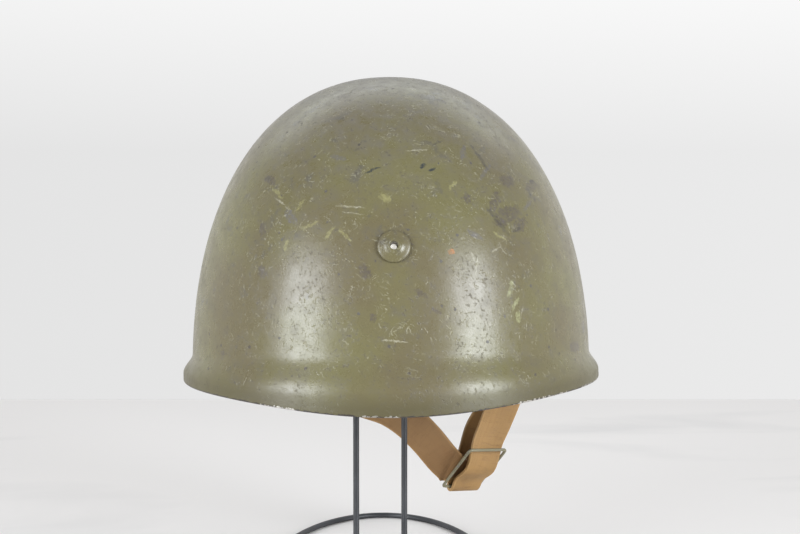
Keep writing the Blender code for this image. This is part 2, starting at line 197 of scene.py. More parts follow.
def flareValue(column, direction, backPower):
    front = max(0.0, math.sin(direction)) ** helmet["flareBlend"]
    back = max(0.0, -math.sin(direction)) ** backPower
    ear = flareTable["ear"][column]
    return ear + (flareTable["brow"][column] - ear) * front + (flareTable["nape"][column] - ear) * back


def flareLimits(direction):
    # heights of the raw edge and of the top of the flare
    edge = helmet["browRise"] * flareValue("edge", direction, helmet["napeBlend"])
    return edge, helmet["flareTall"] * flareValue("tall", direction, helmet["flareBlend"])


def shellPoint(direction, height):
    edge, flareTop = flareLimits(direction)
    fall = min(1.0, max(0.0, (flareTop - height) / (flareTop - edge) / helmet["flareTurn"]))
    outwards = flareValue("out", direction, helmet["flareBlend"])
    flare = helmet["flareOut"] * outwards * fall * fall * (3 - 2 * fall)
    length = helmet["frontLength"] if math.sin(direction) > 0 else helmet["rearLength"]
    across, along = abs(math.cos(direction)) / helmet["halfWidth"], abs(math.sin(direction)) / length
    plan = (across ** helmet["planPower"] + along ** helmet["planPower"]) ** (-1 / helmet["planPower"])
    rise = max(0.0, height / helmet["height"]) ** helmet["powerUp"]
    radius = plan * max(0.0, 1 - rise) ** (1 / helmet["powerOut"]) + flare
    return Vector((radius * math.cos(direction), radius * math.sin(direction), height))


def shellNormal(direction, height):
    step = 0.01
    around = shellPoint(direction + step, height) - shellPoint(direction - step, height)
    up = shellPoint(direction, height + step * helmet["height"])
    up -= shellPoint(direction, height - step * helmet["height"])
    return around.cross(up).normalized()


def rowHeight(row, direction):
    edge, flareTop = flareLimits(direction)
    if row <= helmet["flareRows"]:
        return edge + (flareTop - edge) * row / helmet["flareRows"]
    start = math.asin((flareTop / helmet["height"]) ** (helmet["powerUp"] / 2))
    angle = start + (math.pi / 2 - start) * (row - helmet["flareRows"]) / helmet["domeRows"]
    return helmet["height"] * math.sin(angle) ** (2 / helmet["powerUp"])


# vent rivets: azimuth from +X, height as a share of the dome
vents = {
    "vent_rivet_rear": {"azimuth": -90.5, "height": 0.46},
    "vent_rivet_front_right": {"azimuth": 42.0, "height": 0.46},
    "vent_rivet_front_left": {"azimuth": 138.0, "height": 0.46},
}
rivet = {
    "headRise": 0.0027, "lipRadius": 0.00285, "boreRadius": 0.0020,
    "barrelRadius": 0.0034, "flangeRadius": 0.0058, "flange": 0.0008, "turnSteps": 64,
    "padRadius": 0.00158, "padThickness": 0.0006, "padPlace": (-0.00028, -0.00024, -0.0006),
    "padRound": 0.00012, "holeSteps": 48,
}
# the curled lip of the head: out from the bore and down from the top, in mm
headLip = [(0.0, 1.2), (0.05, 0.6), (0.3, 0.15), (0.7, 0.0)]
# its flank from the lip to the shell: radius and rise in mm
headFlank = [
    (3.10, 2.66), (3.35, 2.44), (3.60, 2.46), (3.90, 2.36), (4.25, 2.18), (4.65, 1.96),
    (5.10, 1.75), (5.65, 1.56), (6.30, 1.40), (7.00, 1.20), (7.60, 0.98), (7.95, 0.78),
    (8.15, 0.55), (8.23, 0.35), (8.25, 0.15), (8.15, 0.0),
]


def ventFrame(vent):
    # own +z along the shell's outward normal, from the outer face
    direction = math.radians(vent["azimuth"])
    height = vent["height"] * helmet["height"]
    turn = shellNormal(direction, height).to_track_quat("Z", "Y")
    return helmetPlace @ Matrix.Translation(shellPoint(direction, height)) @ turn.to_matrix().to_4x4()


def makeShell():
    rows = helmet["flareRows"] + helmet["domeRows"]
    bm = bmesh.new()
    bmesh.ops.create_uvsphere(bm, u_segments=helmet["columns"], v_segments=2 * rows, radius=1.0)
    below = [vert for vert in bm.verts if vert.co.z < -0.001]
    bmesh.ops.delete(bm, geom=below, context="VERTS")
    for vert in bm.verts:
        row = round(math.asin(min(1.0, vert.co.z)) / (math.pi / 2) * rows)
        if row == rows:
            vert.co = (0.0, 0.0, helmet["height"])
            continue
        direction = math.atan2(vert.co.y, vert.co.x)
        place = shellPoint(direction, rowHeight(row, direction))
        # shallow dents of long use, always inwards
        dent = max(0.0, noise.noise(place / helmet["dentSize"]) - helmet["dentFrom"])
        calm = min(1.0, max(0.0, (helmet["height"] - place.z) / helmet["calmCrown"]))
        if row > helmet["calmRows"]:
            place = place - shellNormal(direction, place.z) * dent * calm * helmet["dentDepth"]
        vert.co = place
    bmesh.ops.transform(bm, matrix=helmetPlace, verts=bm.verts)
    shell = meshObject("helmetShell", bm)
    wall = shell.modifiers.new("wall", "SOLIDIFY")
    wall.thickness = helmet["wall"]
    wall.offset = -1
    wall.use_even_offset = True
    edge = shell.modifiers.new("edge", "BEVEL")
    edge.width = helmet["edgeRound"]
    edge.segments = helmet["edgeSteps"]
    edge.limit_method = "ANGLE"
    edge.angle_limit = math.radians(helmet["sharpEdge"])
    cutters = []
    for name, vent in vents.items():
        bm = bmesh.new()
        bmesh.ops.create_cone(bm, cap_ends=True, segments=rivet["holeSteps"], depth=8 * helmet["wall"],
                              radius1=rivet["barrelRadius"] + gap, radius2=rivet["barrelRadius"] + gap)
        bmesh.ops.transform(bm, matrix=ventFrame(vent), verts=bm.verts)
        cutters.append(meshObject(name + "Hole", bm))
        cut = shell.modifiers.new(name, "BOOLEAN")
        cut.operation = "DIFFERENCE"
        cut.object = cutters[-1]
    applyModifiers(shell)
    for cutter in cutters:
        bpy.data.objects.remove(cutter, do_unlink=True)
    # how far each point is above the raw edge, for the wear along it and the painted shade of the low flare
    height = shell.data.attributes.new("rimHeight", "FLOAT", "POINT")
    back = helmetPlace.inverted()
    for index, vert in enumerate(shell.data.vertices):
        place = back @ vert.co
        height.data[index].value = place.z - flareLimits(math.atan2(place.y, place.x))[0]
    roundShade(shell)
    return shell


def makeRivet(name, vent):
    inside = -helmet["wall"] - 2 * gap
    top = gap + rivet["headRise"]
    # the curled lip round the hole and the crease outside it
    outline = [(rivet["boreRadius"] + out / perMetre, top - down / perMetre) for out, down in headLip]
    outline.append((rivet["lipRadius"], top))
    outline += [(radius / perMetre, gap + rise / perMetre) for radius, rise in headFlank]
    outline += [
        (rivet["barrelRadius"], gap), (rivet["barrelRadius"], inside), (rivet["flangeRadius"], inside),
        (rivet["flangeRadius"], inside - rivet["flange"]), (rivet["boreRadius"], inside - rivet["flange"]),
    ]
    piece = turnProfile(name.replace("vent_rivet", "ventRivet"), outline, rivet["turnSteps"])
    piece.data.transform(ventFrame(vent))
    roundShade(piece)
    return piece


def makeVentPad(vent):
    # a pale disc low in the rear vent, which glows with painted light; the photo shows its hole white, with
    # a dark crescent above
    bm = bmesh.new()
    bmesh.ops.create_cone(bm, cap_ends=True, segments=rivet["holeSteps"], radius1=rivet["padRadius"],
                          radius2=rivet["padRadius"], depth=rivet["padThickness"])
    bmesh.ops.bevel(bm, geom=[edge for edge in bm.edges if edge.calc_face_angle() > 1], affect="EDGES",
                    offset=rivet["padRound"], segments=2, profile=0.5, material=-1)
    bmesh.ops.transform(bm, matrix=ventFrame(vent) @ Matrix.Translation(rivet["padPlace"]), verts=bm.verts)
    pad = meshObject("ventPad", bm)
    roundShade(pad)
    return pad


# strap rings inside the shell
ring = {
    "width": 0.030, "tall": 0.016, "wireRadius": 0.0013, "corner": 0.003, "cornerSteps": 8,
    "height": 0.45, "forward": 0.030, "searchSteps": 20,
}


def wallPoint(forward, height, side, depth):
    # a place below the shell's face, as far forward and as high as asked
    direction = math.asin(min(1.0, forward / helmet["halfWidth"]))
    for _ in range(ring["searchSteps"]):
        here = shellPoint(direction, height)
        direction += (forward - here.y) / helmet["halfWidth"]
    place = here - shellNormal(direction, height) * depth
    return Vector((side * place.x, place.y, place.z))


def ringCorners(side):
    depth = helmet["wall"] + gap + ring["wireRadius"]
    height = ring["height"] * helmet["height"]
    rear = wallPoint(ring["forward"] - ring["width"] / 2, height, side, depth)
    front = wallPoint(ring["forward"] + ring["width"] / 2, height, side, depth)
    drop = Vector((0.0, 0.0, -ring["tall"]))
    return [helmetPlace @ corner for corner in (rear, front, front + drop, rear + drop)]


# buckle: a flat frame of wire
buckle = {
    "length": 0.0355, "width": 0.0280, "wireRadius": 0.0009, "corner": 0.0022, "cornerSteps": 8,
    "place": (0.0537, 0.0270, 0.0650), "across": (0.815, 0.572, -0.089), "along": (-0.448, 0.528, -0.721),
}


def buckleCorners():
    first = Vector(buckle["place"])
    across = Vector(buckle["across"]).normalized() * buckle["width"]
    along = Vector(buckle["along"])
    along = (along - along.project(across)).normalized() * buckle["length"]
    return [first, first + across, first + across + along, first + along]


# chin strap: one band, laid along the rows of its runs
strap = {"width": 0.021, "thickness": 0.0020, "fold": 0.014, "onBar": 0.57,
         "curveSteps": 6, "wrapSteps": 6, "acrossSteps": 8, "edgeRound": 0.00055, "edgeSteps": 3,
         "sharpEdge": 60, "sharpShade": 50}
# on a run: shares of the way from its start to its end in x, y and z, heading and pitch in degrees
leftRun = [
    (0.035, 0.02, 0.17, 80, 6),
    (0.135, 0.06, 0.34, 66, 28),
    (0.33, 0.14, 0.485, 40, 54),
    (0.594, 0.22, 0.584, 4, 68),
    (0.68, 0.23, 0.617, 0, 63),
    (0.772, 0.27, 0.685, 0, 52),
    (0.842, 0.31, 0.762, -4, 44),
]
# near the buckle: across it, up along it and behind it, in buckle lengths, heading and pitch
intoBuckle = [
    (-0.614, 0.469, 0.253, -8, 36),
    (-0.251, 0.235, 0.128, 12, 20),
]
outOfBuckle = [
    (-0.021, 0.206, -0.035, 33, -5),
    (0.018, 0.538, -0.059, 31, -7),
    (0.017, 0.784, 0.040, 30, -8),
    (0.019, 0.971, 0.156, 28, -9),
    (0.073, 1.258, 0.308, 24, -12),
]
rightRun = [
    (0.435, 0.77, 0.378, 20, -12),
    (0.66, 0.88, 0.60, 44, -8),
    (0.88, 0.98, 0.86, 84, -2),
]
returnRun = [
    (0.16, 0.05, 0.14, 84, 0),
    (0.45, 0.45, 0.42, 50, -4),
]
behindBuckle = [
    (0.194, 1.170, 0.668, 26, -14),
    (0.142, 0.888, 0.567, 24, -16),
    (0.108, 0.522, 0.360, 24, -10),
    (0.086, 0.282, 0.218, 24, -6),
]


def smoothCurve(rows, steps):
    # cubic curve through the rows, for all their values at once
    spans = [max(1e-9, math.dist(a[:3], b[:3])) for a, b in zip(rows, rows[1:])]
    slopes = [[(y - x) / span for x, y in zip(a, b)] for a, b, span in zip(rows, rows[1:], spans)]
    tangents = [slopes[0]]
    for one, other, first, second in zip(slopes, slopes[1:], spans, spans[1:]):
        tangents.append([(x * second + y * first) / (first + second) for x, y in zip(one, other)])
    tangents.append(slopes[-1])
    curve = []
    for index, span in enumerate(spans):
        for step in range(steps):
            t = step / steps
            weights = (2 * t ** 3 - 3 * t ** 2 + 1, (t ** 3 - 2 * t ** 2 + t) * span,
                       3 * t ** 2 - 2 * t ** 3, (t ** 3 - t ** 2) * span)
            ends = (rows[index], tangents[index], rows[index + 1], tangents[index + 1])
            curve.append([sum(w * v for w, v in zip(weights, values)) for values in zip(*ends)])
    curve.append(list(rows[-1]))
    return curve


def strapSection(middle, heading, pitch):
    # a middle and the direction of the width there
    heading, pitch = math.radians(heading), math.radians(pitch)
    flat = math.cos(pitch)
    return (*middle, flat * math.cos(heading), flat * math.sin(heading), math.sin(pitch))


def spanSections(table, start, end):
    return [strapSection([a + (b - a) * share for a, b, share in zip(start, end, shares)], heading, pitch)
            for *shares, heading, pitch in table]


def turnRound(middle, axis, start, end, radius):
    # half a turn of the strap round a bar
    rows = []
    for step in range(strap["wrapSteps"] + 1):
        angle = math.pi * step / strap["wrapSteps"]
        rows.append((*(middle + radius * (math.cos(angle) * start + math.sin(angle) * end)), *axis))
    return rows


def strapSections():
    # from the fold at the left ring, round the buckle's low bar and the right ring, and back down
    bars = []
    for side in (-1, 1):
        corners = ringCorners(side)
        bars.append(((corners[2] + corners[3]) / 2, (corners[2] - corners[3]).normalized()))
    (left, leftAxis), (right, rightAxis) = bars
    corners = buckleCorners()
    across = (corners[1] - corners[0]).normalized()
    along = (corners[3] - corners[0]).normalized()
    behind = across.cross(along)
    lowBar = corners[3].lerp(corners[2], strap["onBar"])
    up = Vector((0.0, 0.0, 1.0))
    ringBend = ring["wireRadius"] + gap + strap["thickness"] / 2
    buckleBend = buckle["wireRadius"] + gap + strap["thickness"] / 2

    def nearBuckle(table):
        return [strapSection(lowBar + buckle["length"] * (side * across - rise * along + back * behind),
                             heading, pitch) for side, rise, back, heading, pitch in table]

    leftWall, rightWall = up.cross(leftAxis).normalized(), rightAxis.cross(up).normalized()
    foldEnd = left - up * strap["fold"] - leftWall * (ringBend - strap["thickness"] - 2 * gap)
    sections = [(*foldEnd, *leftAxis)]
    sections += turnRound(left, leftAxis, leftWall, up, ringBend)
    sections += spanSections(leftRun, left, lowBar) + nearBuckle(intoBuckle)
    sections += turnRound(lowBar, across, behind, along, buckleBend)
    sections += nearBuckle(outOfBuckle) + spanSections(rightRun, lowBar, right)
    sections += turnRound(right, rightAxis, rightWall, up, ringBend)
    sections += spanSections(returnRun, right, lowBar) + nearBuckle(behindBuckle)
    return smoothCurve(sections, strap["curveSteps"])


def makeStrap():
    # a grid laid along the sections; its map is in metres, across and along the strap
    sections = strapSections()
    rows = len(sections) - 1
    bm = bmesh.new()
    bmesh.ops.create_grid(bm, x_segments=strap["acrossSteps"], y_segments=rows, size=1.0)
    halves, travelled = [], [0.0]
    for index, values in enumerate(sections):
        before, after = sections[max(0, index - 1)], sections[min(rows, index + 1)]
        travel = (Vector(after[:3]) - Vector(before[:3])).normalized()
        width = Vector(values[3:]).normalized()
        halves.append(width * strap["width"] / 2 / width.cross(travel).length)
        if index:
            travelled.append(travelled[-1] + math.dist(values[:3], sections[index - 1][:3]))
    mapPlace = {}
    for vert in bm.verts:
        share, row = vert.co.x, round((vert.co.y + 1) / 2 * rows)
        mapPlace[vert] = (share * strap["width"] / 2, travelled[row])
        vert.co = Vector(sections[row][:3]) + halves[row] * share
    strapMap = bm.loops.layers.uv.new("strapMap")
    for face in bm.faces:
        for loop in face.loops:
            loop[strapMap].uv = mapPlace[loop.vert]
    piece = meshObject("chinStrap", bm)
    body = piece.modifiers.new("thickness", "SOLIDIFY")
    body.thickness = strap["thickness"]
    body.offset = 0
    edge = piece.modifiers.new("edge", "BEVEL")
    edge.width = strap["edgeRound"]
    edge.segments = strap["edgeSteps"]
    edge.limit_method = "ANGLE"
    edge.angle_limit = math.radians(strap["sharpEdge"])
    applyModifiers(piece)
    roundShade(piece, strap["sharpShade"])
    print("strap length", round(travelled[-1], 3))
    return piece


# wire stand
stand = {
    "wireRadius": 0.00175, "rodSpacing": 0.028, "baseHalfWidth": 0.0643, "baseHalfLength": 0.135,
    "barWidth": 0.010, "barThickness": 0.0035, "barRound": 0.0007, "seatShare": 0.38,
    "basePoints": 128, "seatPoints": 96, "beadRadius": 0.0032, "beadHeight": 0.0022,
    "beadSink": 0.0003, "beadSteps": 32,
}


def makeStand():
    radius = stand["wireRadius"]
    base = []
    for step in range(stand["basePoints"]):
        angle = 2 * math.pi * step / stand["basePoints"]
        base.append((stand["baseHalfWidth"] * math.cos(angle),
                     stand["baseHalfLength"] * math.sin(angle), radius))
    height = helmet["height"] * (1 - stand["seatShare"] ** helmet["powerOut"]) ** (1 / helmet["powerUp"])
    depth = helmet["wall"] + gap + radius
    seat = []
    for step in range(stand["seatPoints"]):
        direction = 2 * math.pi * step / stand["seatPoints"]
        seat.append(helmetPlace @ (shellPoint(direction, height) - shellNormal(direction, height) * depth))
    right, left = seat[0], seat[stand["seatPoints"] // 2]
    tools = [wirePiece("seatRing", seat, radius, True), wirePiece("seatBar", [left, right], radius)]
    for side in (-1, 1):
        across = side * stand["rodSpacing"] / 2
        top = left.lerp(right, (across - left.x) / (right.x - left.x))
        tools.append(wirePiece("rod", [(across, top.y, stand["barThickness"] / 2), top], radius))
        # a weld bead with a hollow flank at the foot of the rod, sunk a little into the bar
        foot, sunk = stand["barThickness"], stand["barThickness"] - stand["beadSink"]
        wide, tall = stand["beadRadius"], foot + stand["beadHeight"]
        bead = turnProfile("bead", [(radius / 2, sunk), (wide, sunk), (wide, foot + 0.0002),
                                    (radius + 0.0006, foot + stand["beadHeight"] * 0.35),
                                    (radius + 0.0001, tall), (radius / 2, tall),], stand["beadSteps"])
        bead.data.transform(Matrix.Translation((across, top.y, 0.0)))
        tools.append(bead)
    bm = bmesh.new()
    bmesh.ops.create_cube(bm, size=1.0)
    bmesh.ops.scale(bm, vec=(2 * stand["baseHalfWidth"], stand["barWidth"], stand["barThickness"]),
                    verts=bm.verts)
    bmesh.ops.translate(bm, vec=(0.0, 0.0, stand["barThickness"] / 2), verts=bm.verts)
    bmesh.ops.bevel(bm, geom=bm.edges[:], affect="EDGES", offset=stand["barRound"], segments=3, profile=0.5,
                    material=-1)
    tools.insert(0, meshObject("crossBar", bm))
    piece = wirePiece("wireStand", base, radius, True)
    for tool in tools:
        weld = piece.modifiers.new(tool.name, "BOOLEAN")
        weld.operation = "UNION"
        weld.object = tool
    applyModifiers(piece)
    for tool in tools:
        bpy.data.objects.remove(tool, do_unlink=True)
    roundShade(piece)
    return piece


# olive helmet paint: a baked alkyd enamel, brushed and sprayed over pressed steel and handled for
# decades. It gives the eye a soft satin gloss, a grey crown of painted sheen, a darker low flare of
# painted shade, and scuffs down to darker primer.
paint = {
    # the crown grey below is painted sheen of the light from above
    "olive": "#696443", "oliveBrown": "#645c43", "crownSheenGrey": "#726d64", "grime": "#5d584c",
    "worn": "#56534e", "fleck": "#928d66", "pale": "#aeaa9c", "primer": "#4b443a", "rimDark": "#38322c",
    # the next colour is painted shade for the lowest part of the flare
    "paintedShade": "#4d472e",
    "steel": "#b4b0a8", "roughness": 0.30, "polishSpan": 0.07, "bumpDepth": 0.0001,
    "patchSize": 45, "mottleSize": 7, "speckSize": 1.6, "wearSize": 13, "chipGap": 8, "chipRag": 1.2,
    "bendSize": 9, "bendReach": 0.012, "outlineRag": 4.5, "rimRag": 2.5, "rubbedSize": 24,
    "crownFrom": 0.205, "crownTo": 0.290, "paintedShadeFrom": 0.0125, "paintedShadeTo": 0.0040,
    "rimThin": 0.0002, "rimWide": 0.0011,
}
# wobble: how far the outline wanders, in mm
markLooks = {
    "worn": {"colour": "#554e47", "strength": 0.80, "wobble": 9},
    "wornDark": {"colour": "#3d3a39", "strength": 0.60, "wobble": 4},
    "wornBlue": {"colour": "#625f61", "strength": 0.60, "wobble": 6},
    "fleck": {"colour": "#9c9868", "strength": 0.50, "wobble": 6},
    "pale": {"colour": "#bdb9a6", "strength": 0.42, "wobble": 3},
    "greenStreak": {"colour": "#a3a57c", "strength": 0.55, "wobble": 6},
    "rust": {"colour": "#a56c38", "strength": 0.80, "wobble": 5},
    "nick": {"colour": "#2c3237", "strength": 0.95, "wobble": 3},
}
# marks on the back: middle in mm across and above the floor, size in mm, turn in degrees
marks = {
    "worn": [
        (66.8, 224.2, 4.6, 3.2, 20), (81.0, 222.0, 4.4, 3.4, -30), (60.0, 214.0, 3.4, 6.0, 25),
        (66.0, 206.5, 9.0, 4.6, -28), (73.0, 202.0, 5.4, 3.4, -40), (45.1, 215.4, 3.0, 2.4, 30),
        (-56.2, 225.1, 4.4, 2.6, 30), (-59.3, 199.3, 2.4, 4.2, 0), (-80.3, 134.4, 1.5, 3.2, 0),
        (-5.6, 179.4, 3.0, 4.6, -25), (-57.8, 178.4, 3.4, 2.6, 20), (21.3, 169.1, 4.2, 1.7, 25),
        (104.5, 136.9, 4.2, 3.0, 20), (-1.5, 157.0, 1.8, 2.0, 0), (29.0, 160.0, 3.2, 1.4, 20),
    ],
    "wornDark": [
        (61.0, 204.0, 1.3, 10.0, -39), (53.0, 236.0, 0.8, 11.0, -35), (82.0, 224.5, 2.2, 1.2, 20),
        (71.0, 199.5, 3.4, 1.0, -25), (-57.5, 226.0, 2.4, 0.8, 25), (31.0, 244.0, 3.4, 0.7, -20),
    ],
    "wornBlue": [
        (55.2, 229.1, 1.4, 6.4, 35), (43.9, 238.8, 1.5, 5.0, 10), (-44.0, 206.5, 2.6, 5.2, -35),
        (49.0, 197.0, 5.0, 1.2, 30), (78.0, 212.0, 5.0, 1.4, -50), (111.3, 146.3, 1.2, 4.0, 0),
        (14.0, 196.0, 1.2, 1.2, 0), (-20.0, 236.0, 5.0, 1.4, 20),
    ],
    "fleck": [
        (4.0, 215.5, 4.0, 2.2, 20), (-15.7, 197.2, 1.1, 5.0, -45), (-23.2, 198.2, 0.9, 4.4, 40),
        (-33.5, 202.1, 1.0, 5.6, 65), (-39.0, 212.1, 0.9, 4.0, 30), (-51.7, 218.3, 1.0, 4.8, -50),
        (38.0, 222.0, 0.8, 4.0, 45), (62.0, 196.0, 0.9, 5.4, -60), (-46.0, 192.0, 1.0, 3.6, 15),
    ],
    "pale": [
        (49.6, 181.8, 0.5, 5.2, 8), (9.1, 146.0, 7.0, 0.5, 4), (-13.4, 211.2, 8.0, 0.5, 4),
        (-12.0, 208.0, 6.0, 0.4, 8), (20.0, 240.0, 6.0, 0.4, -4), (-50.0, 214.0, 4.0, 0.5, 30),
        (47.6, 186.4, 0.4, 3.0, -20), (73.0, 158.0, 0.4, 3.4, 10), (60.0, 190.0, 3.4, 0.4, -30),
    ],
    "greenStreak": [(66.9, 170.0, 1.5, 4.4, 14), (69.6, 162.5, 1.3, 4.8, 22), (71.0, 156.0, 1.4, 3.2, 0)],
    "rust": [(37.0, 189.0, 2.0, 1.9, 30)],
    "nick": [(-2.1, 229.7, 4.6, 0.6, -22), (23.1, 231.8, 2.0, 1.3, -30), (27.6, 230.0, 2.4, 0.6, -14)],
}
# fine scratches: turns about x, y and z, cell length and width in mm, share that shows
scratches = [
    {"turn": (0, 38, 0), "length": 16, "width": 1.5, "reach": 0.30, "shown": 0.40},
    {"turn": (0, -52, 15), "length": 13, "width": 1.4, "reach": 0.28, "shown": 0.36},
    {"turn": (0, 82, 40), "length": 18, "width": 1.6, "reach": 0.24, "shown": 0.30},
    {"turn": (30, 8, 80), "length": 14, "width": 1.5, "reach": 0.26, "shown": 0.34},
]


def makeHelmetPaint(name, withMarks):
    material, add, shader = newMaterial(name)
    place = add("TexCoord").outputs["Object"]
    axes = add("SeparateXYZ", {0: place})
    patches = add("TexNoise", {"Vector": place, "Scale": perMetre / paint["patchSize"], "Detail": 4.0})
    mottle = add("TexNoise", {"Vector": place, "Scale": perMetre / paint["mottleSize"], "Detail": 6.0,
                              "Roughness": 0.62})
    specks = add("TexNoise", {"Vector": place, "Scale": perMetre / paint["speckSize"], "Detail": 5.0,
                              "Roughness": 0.6})
    drift = add("MapRange", {"Value": patches, "From Min": 0.38, "From Max": 0.62})
    colour = add("Mix", {0: drift, 6: hexColour(paint["olive"]), 7: hexColour(paint["oliveBrown"])},
                 data_type="RGBA")
    # grime in the mottle, and a painted sheen: the crown is greyed as if lit from above
    grimed = add("MapRange", {"Value": mottle, "From Min": 0.50, "From Max": 0.78, "To Max": 0.55})
    colour = add("Mix", {0: grimed, 6: colour, 7: hexColour(paint["grime"])}, data_type="RGBA")
    high = add("MapRange", {"Value": axes.outputs["Z"], "From Min": paint["crownFrom"],
                            "From Max": paint["crownTo"], "To Max": 0.75})
    patchy = add("MapRange", {"Value": mottle, "From Min": 0.30, "From Max": 0.65})
    paintedCrownSheen = add("Math", {0: high, 1: patchy}, operation="MULTIPLY")
    colour = add("Mix", {0: paintedCrownSheen, 6: colour, 7: hexColour(paint["crownSheenGrey"])}, data_type="RGBA")
    # worn through patches, more of them high up
    wearNoise = add("TexNoise", {"Vector": place, "Scale": perMetre / paint["wearSize"], "Detail": 7.0,
                                 "Roughness": 0.66})
    bias = add("MapRange", {"Value": axes.outputs["Z"], "From Min": 0.14, "From Max": 0.28,
                            "To Min": -0.035, "To Max": 0.035})
    biased = add("Math", {0: wearNoise, 1: bias}, operation="ADD")
    wear = add("MapRange", {"Value": biased, "From Min": 0.585, "From Max": 0.68, "To Max": 0.62})
    colour = add("Mix", {0: wear, 6: colour, 7: hexColour(paint["worn"])}, data_type="RGBA")
    # single chips of 1 to 2 mm
    chipCells = add("TexVoronoi", {"Vector": place, "Scale": perMetre / paint["chipGap"]})
    chipKind = add("SeparateColor", {0: chipCells.outputs["Color"]})
    chipPicked = add("Math", {0: chipKind.outputs["Red"], 1: 0.62}, operation="GREATER_THAN")
    chipEdge = add("TexNoise", {"Vector": place, "Scale": perMetre / paint["chipRag"], "Detail": 2.0})
    chipReach = add("MapRange", {"Value": chipEdge, "To Min": 0.0, "To Max": 0.20})
    chipSpot = add("Math", {0: chipCells, 1: chipReach}, operation="LESS_THAN")
    chips = add("Math", {0: chipSpot, 1: chipPicked}, operation="MULTIPLY")
    chipColour = add("Mix", {0: chipKind.outputs["Green"], 6: hexColour(paint["primer"]),
                             7: hexColour(paint["worn"])}, data_type="RGBA")
    colour = add("Mix", {0: chips, 6: colour, 7: chipColour}, data_type="RGBA")
    # scratches in four directions
    bend = add("TexNoise", {"Vector": place, "Scale": perMetre / paint["bendSize"], "Detail": 3.0})
    bendShift = add("VectorMath", {0: bend.outputs["Color"], "Scale": paint["bendReach"]},
                    operation="SCALE")
    bent = add("Mapping", {"Vector": place, "Location": bendShift})
    lines = None
    for row in scratches:
        turned = add("Mapping", {"Vector": bent, "Rotation": [math.radians(a) for a in row["turn"]],
                                 "Scale": (row["length"] / perMetre, row["width"] / perMetre,
                                           row["width"] / perMetre)}, vector_type="TEXTURE")
        cells = add("TexVoronoi", {"Vector": turned, "Scale": 1.0})
        kind = add("SeparateColor", {0: cells.outputs["Color"]})
        picked = add("Math", {0: kind.outputs["Red"], 1: 1 - row["shown"]}, operation="GREATER_THAN")
        near = add("MapRange", {"Value": cells, "From Min": row["reach"], "From Max": row["reach"] * 0.3,
                                "To Max": 0.9})
        shown = add("Math", {0: near, 1: picked}, operation="MULTIPLY")
        lines = shown if lines is None else add("Math", {0: lines, 1: shown}, operation="MAXIMUM")
    where = add("MapRange", {"Value": biased, "From Min": 0.40, "From Max": 0.54})
    lines = add("Math", {0: lines, 1: where}, operation="MULTIPLY")
    faint = add("Math", {0: lines, 1: 0.50}, operation="MULTIPLY")
    lineColour = add("Mix", {0: specks, 6: hexColour(paint["fleck"]), 7: hexColour(paint["pale"])},
                     data_type="RGBA")
    colour = add("Mix", {0: faint, 6: colour, 7: lineColour}, data_type="RGBA")
    # a fine crackle of nicks, dense in some patches
    nicked = add("MapRange", {"Value": specks, "From Min": 0.57, "From Max": 0.64, "To Max": 0.55})
    inPatch = add("MapRange", {"Value": mottle, "From Min": 0.42, "From Max": 0.58, "To Min": 0.1})
    nicks = add("Math", {0: nicked, 1: inPatch}, operation="MULTIPLY")
    colour = add("Mix", {0: nicks, 6: colour, 7: hexColour(paint["primer"])}, data_type="RGBA")
    depth = add("Math", {0: chips, 1: lines}, operation="MAXIMUM")
    depth = add("Math", {0: depth, 1: nicks}, operation="MAXIMUM")
    if withMarks:
        # the marks of the back, with ragged outlines
        wobble = add("TexNoise", {"Vector": place, "Scale": perMetre / paint["outlineRag"], "Detail": 5.0,
                                  "Roughness": 0.75})
        centred = add("VectorMath", {0: wobble.outputs["Color"], 1: (0.5, 0.5, 0.5)}, operation="SUBTRACT")
        rear = add("Math", {0: axes.outputs["Y"], 1: 0.0}, operation="LESS_THAN")
        for kindName, rows in marks.items():
            look = markLooks[kindName]
            shift = add("VectorMath", {0: centred, "Scale": look["wobble"] / perMetre}, operation="SCALE")
            ragged = add("Mapping", {"Vector": place, "Location": shift})
            mask = None
            for x, z, sizeX, sizeZ, turn in rows:
                own = add("Mapping", {"Vector": ragged, "Location": (x / perMetre, 0.0, z / perMetre),
                                      "Rotation": (0.0, math.radians(turn), 0.0),
                                      "Scale": (sizeX / perMetre, 100.0, sizeZ / perMetre)},
                          vector_type="TEXTURE")
                near = add("TexGradient", {"Vector": own}, gradient_type="SPHERICAL").outputs["Fac"]
                mask = near if mask is None else add("Math", {0: mask, 1: near}, operation="MAXIMUM")
            mask = add("MapRange", {"Value": mask, "From Max": 0.25})
            broken = add("MapRange", {"Value": specks, "From Min": 0.40, "From Max": 0.58,
                                      "To Min": 0.35 * look["strength"], "To Max": look["strength"]})
            mask = add("Math", {0: mask, 1: broken}, operation="MULTIPLY")
            mask = add("Math", {0: mask, 1: rear}, operation="MULTIPLY")
            colour = add("Mix", {0: mask, 6: colour, 7: hexColour(look["colour"])}, data_type="RGBA")
        # painted shade: the lowest part of the flare is darkened
        rim = add("Attribute", attribute_name="rimHeight").outputs["Fac"]
        low = add("MapRange", {"Value": rim, "From Min": paint["paintedShadeFrom"],
                               "From Max": paint["paintedShadeTo"], "To Max": 0.75})
        colour = add("Mix", {0: low, 6: colour, 7: hexColour(paint["paintedShade"])}, data_type="RGBA")
